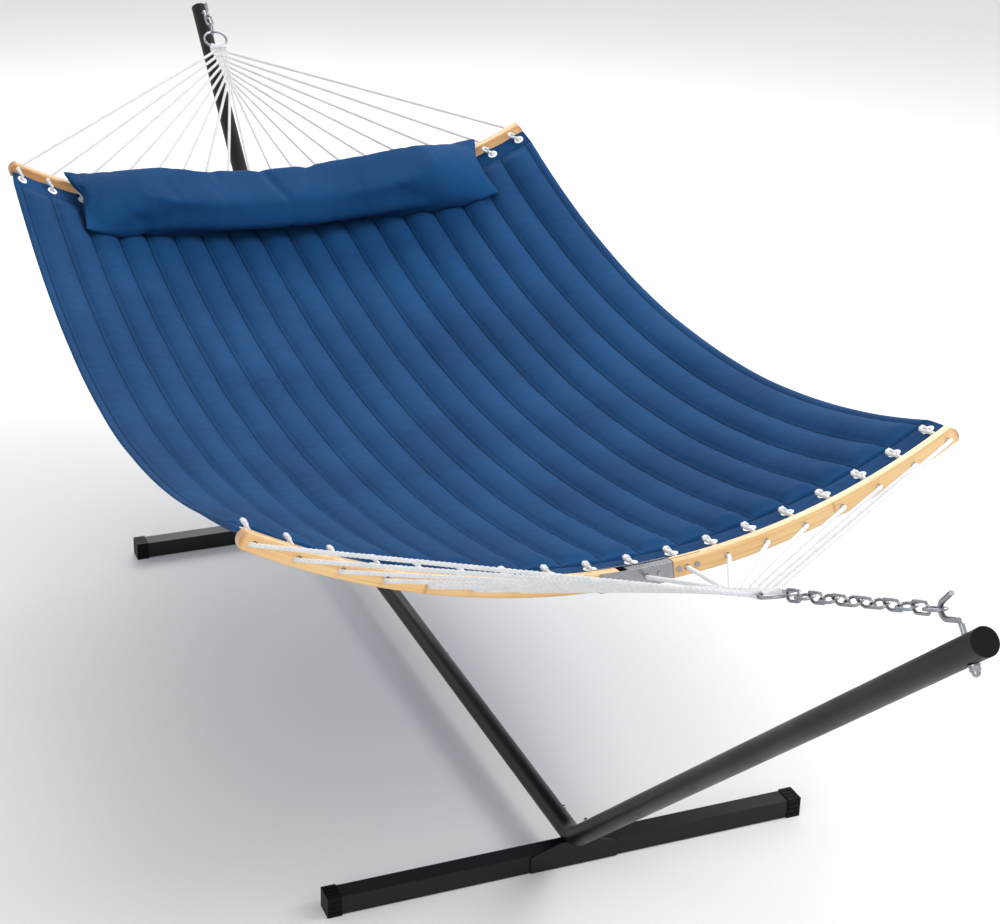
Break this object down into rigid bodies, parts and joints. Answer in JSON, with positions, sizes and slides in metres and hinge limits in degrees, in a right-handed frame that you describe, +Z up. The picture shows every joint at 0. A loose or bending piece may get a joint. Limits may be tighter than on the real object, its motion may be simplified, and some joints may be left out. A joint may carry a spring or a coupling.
{
  "type": "hammock on stand",
  "caption": "Quilted blue two-person hammock with curved wooden spreader bars, woven rope ends, chains and a pillow, hung on a black tube steel stand.",
  "frame": {"origin": "on the floor under the middle of the stand", "axes": "+X along the hammock towards the end with the longer chain, +Y across it, +Z up"},
  "size_m": [3.8548, 1.358, 1.1128],
  "materials": {
    "black_steel": "satin",
    "cap_plastic": "satin",
    "plug_plastic": "matte",
    "zinc_steel": "satin",
    "tongue_steel": "satin",
    "bamboo": "satin",
    "rope_white": "matte",
    "eyelet_trim": "satin",
    "blue_fabric": "matte"
  },
  "bodies": {
    "stand": {"near_base_frame": "black_steel", "far_base_frame": "black_steel", "near_left_cap": "cap_plastic", "near_right_cap": "cap_plastic", "far_left_cap": "cap_plastic", "far_right_cap": "cap_plastic", "near_beam": "black_steel", "far_beam": "black_steel", "near_lower_arm": "black_steel", "near_upper_arm": "black_steel", "far_lower_arm": "black_steel", "far_upper_arm": "black_steel", "near_arm_plug": "plug_plastic", "far_arm_plug": "plug_plastic", "near_hook": "zinc_steel", "far_hook": "zinc_steel", "near_hook_fastener": "zinc_steel", "far_hook_fastener": "zinc_steel"},
    "hammock": {"near_chain": "zinc_steel", "far_chain": "zinc_steel", "near_ring": "zinc_steel", "far_ring": "zinc_steel", "near_weave": "rope_white", "far_weave": "rope_white", "near_ropes": "rope_white", "far_ropes": "rope_white", "near_left_bar": "bamboo", "near_right_bar": "bamboo", "far_left_bar": "bamboo", "far_right_bar": "bamboo", "near_fold_channel": "zinc_steel", "far_fold_channel": "zinc_steel", "near_fold_tongue": "tongue_steel", "far_fold_tongue": "tongue_steel", "near_fold_pins": "zinc_steel", "far_fold_pins": "zinc_steel", "near_hem": "blue_fabric", "far_hem": "blue_fabric", "near_eyelets": "eyelet_trim", "far_eyelets": "eyelet_trim", "quilt": "blue_fabric"},
    "pillow": {"pillow": "blue_fabric"},
    "near_beam_button_body": {"near_beam_button": "zinc_steel"},
    "mid_beam_button_body": {"mid_beam_button": "zinc_steel"},
    "far_beam_button_body": {"far_beam_button": "zinc_steel"},
    "near_arm_button_body": {"near_arm_button": "zinc_steel"},
    "far_arm_button_body": {"far_arm_button": "zinc_steel"},
    "near_mid_arm_button_body": {"near_mid_arm_button": "zinc_steel"},
    "far_mid_arm_button_body": {"far_mid_arm_button": "zinc_steel"}
  },
  "joints": [
    {"name": "hammock_swing", "type": "hinge", "parent": "stand", "child": "hammock", "pos_m": [0, 0, 1.0786], "axis": [1, 0, 0], "range_deg": [-20, 20]},
    {"name": "pillow_lift", "type": "slide", "parent": "hammock", "child": "pillow", "axis": [0, 0, 1], "range_m": [0, 0.25]},
    {"name": "near_beam_button_press", "type": "slide", "parent": "stand", "child": "near_beam_button_body", "axis": [0, -0.7071, -0.7071], "range_m": [0, 0.0045], "stiffness_N_per_m": 1500, "springref_m": -0.002},
    {"name": "mid_beam_button_press", "type": "slide", "parent": "stand", "child": "mid_beam_button_body", "axis": [0, -1, 0], "range_m": [0, 0.0045], "stiffness_N_per_m": 1500, "springref_m": -0.002},
    {"name": "far_beam_button_press", "type": "slide", "parent": "stand", "child": "far_beam_button_body", "axis": [0, -0.7071, -0.7071], "range_m": [0, 0.0045], "stiffness_N_per_m": 1500, "springref_m": -0.002},
    {"name": "near_arm_button_press", "type": "slide", "parent": "stand", "child": "near_arm_button_body", "axis": [0.6691, 0, -0.7431], "range_m": [0, 0.0045], "stiffness_N_per_m": 1500, "springref_m": -0.002},
    {"name": "far_arm_button_press", "type": "slide", "parent": "stand", "child": "far_arm_button_body", "axis": [-0.6691, 0, -0.7431], "range_m": [0, 0.0045], "stiffness_N_per_m": 1500, "springref_m": -0.002},
    {"name": "near_mid_arm_button_press", "type": "slide", "parent": "stand", "child": "near_mid_arm_button_body", "axis": [0, -1, 0], "range_m": [0, 0.0045], "stiffness_N_per_m": 1500, "springref_m": -0.002},
    {"name": "far_mid_arm_button_press", "type": "slide", "parent": "stand", "child": "far_mid_arm_button_body", "axis": [0, -1, 0], "range_m": [0, 0.0045], "stiffness_N_per_m": 1500, "springref_m": -0.002}
  ]
}
